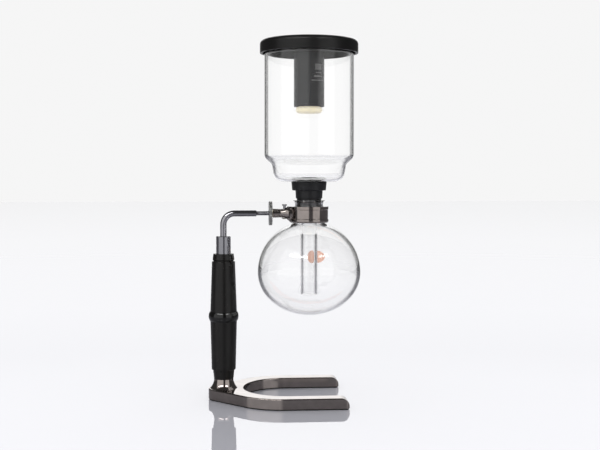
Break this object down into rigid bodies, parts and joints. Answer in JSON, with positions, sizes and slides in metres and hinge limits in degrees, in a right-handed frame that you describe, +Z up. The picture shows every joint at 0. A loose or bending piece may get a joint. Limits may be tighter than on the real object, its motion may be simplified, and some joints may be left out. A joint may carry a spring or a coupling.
{
  "type": "siphon coffee maker",
  "caption": "Vacuum siphon coffee maker: horseshoe stand with a gripped post, clamped round glass flask, upper glass chamber on a rubber stopper, and a lid with a sleeve.",
  "frame": {"origin": "on the table, under the common axis of flask, chamber and lid", "axes": "+Z up along the vessel axis; +X from the post towards the open end of the base; +Y away from the viewer who has the post on the left"},
  "size_m": [0.1442, 0.108, 0.339],
  "materials": {
    "black_nickel": "polished black nickel plate on a zinc casting",
    "base_rubber": "matt black rubber",
    "zinc_steel": "zinc plated steel",
    "turned_brass": "turned brass",
    "satin_black_plastic": "moulded, satin",
    "gloss_black_plastic": "moulded, gloss",
    "polished_steel": "polished stainless steel",
    "liner_rubber": "thin black silicone strip",
    "borosilicate_glass": "clear, fire polished",
    "stopper_rubber": "dark semi-gloss rubber",
    "lid_plastic": "moulded, satin",
    "sleeve_plastic": "moulded, semi-gloss",
    "cotton_cloth": "cream cotton flannel",
    "filter_steel": "pressed stainless steel"
  },
  "bodies": {
    "stand": {"base_frame": "black_nickel", "base_pad": "base_rubber", "base_screw": "zinc_steel", "base_washer": "zinc_steel", "tie_coupling": "turned_brass", "lower_collar": "satin_black_plastic", "lower_grip": "satin_black_plastic", "grip_ring": "gloss_black_plastic", "upper_grip": "satin_black_plastic", "top_collar": "satin_black_plastic", "rod_ferrule": "polished_steel", "grub_screw": "zinc_steel", "support_rod": "polished_steel", "jaw_pin": "polished_steel", "pin_clip": "zinc_steel", "flask": "borosilicate_glass"},
    "nut_cone": {"clamp_cone": "turned_brass"},
    "nut": {"clamp_nut": "polished_steel"},
    "front_jaw": {"jaw_front": "black_nickel", "liner_front": "liner_rubber"},
    "rear_jaw": {"jaw_rear": "black_nickel", "liner_rear": "liner_rubber"},
    "upper_chamber": {"chamber": "borosilicate_glass", "stopper": "stopper_rubber"},
    "lid": {"lid_cap": "lid_plastic", "lid_sleeve": "sleeve_plastic"},
    "filter": {"filter_cloth": "cotton_cloth", "filter_disc": "filter_steel", "filter_cover": "filter_steel", "filter_post": "filter_steel", "filter_spring": "filter_steel", "filter_chain": "filter_steel", "filter_hook": "filter_steel"}
  },
  "joints": [
    {"name": "cone_slide", "type": "slide", "parent": "stand", "child": "nut_cone", "axis": [1, 0, 0], "range_m": [-0.003, 0]},
    {"name": "nut_turn", "type": "hinge", "parent": "nut_cone", "child": "nut", "pos_m": [-0.0366, 0, 0.176], "axis": [1, 0, 0], "range_deg": [-1080, 0]},
    {"name": "front_jaw_open", "type": "hinge", "parent": "stand", "child": "front_jaw", "pos_m": [-0.0233, 0, 0.176], "axis": [0, 0, -1], "range_deg": [0, 5.5]},
    {"name": "rear_jaw_open", "type": "hinge", "parent": "stand", "child": "rear_jaw", "pos_m": [-0.0233, 0, 0.176], "axis": [0, 0, 1], "range_deg": [0, 5.5]},
    {"name": "chamber_lift", "type": "slide", "parent": "stand", "child": "upper_chamber", "axis": [0, 0, 1], "range_m": [0, 0.11]},
    {"name": "lid_lift", "type": "slide", "parent": "upper_chamber", "child": "lid", "axis": [0, 0, 1], "range_m": [0, 0.08]},
    {"name": "filter_draw", "type": "slide", "parent": "lid", "child": "filter", "axis": [0, 0, -1], "range_m": [0, 0.045]}
  ],
  "couplings": [
    {"joint": "cone_slide", "follows": "nut_turn", "m_per_rad": 0.000159},
    {"joint": "front_jaw_open", "follows": "nut_turn", "ratio": -0.005},
    {"joint": "rear_jaw_open", "follows": "nut_turn", "ratio": -0.005}
  ]
}
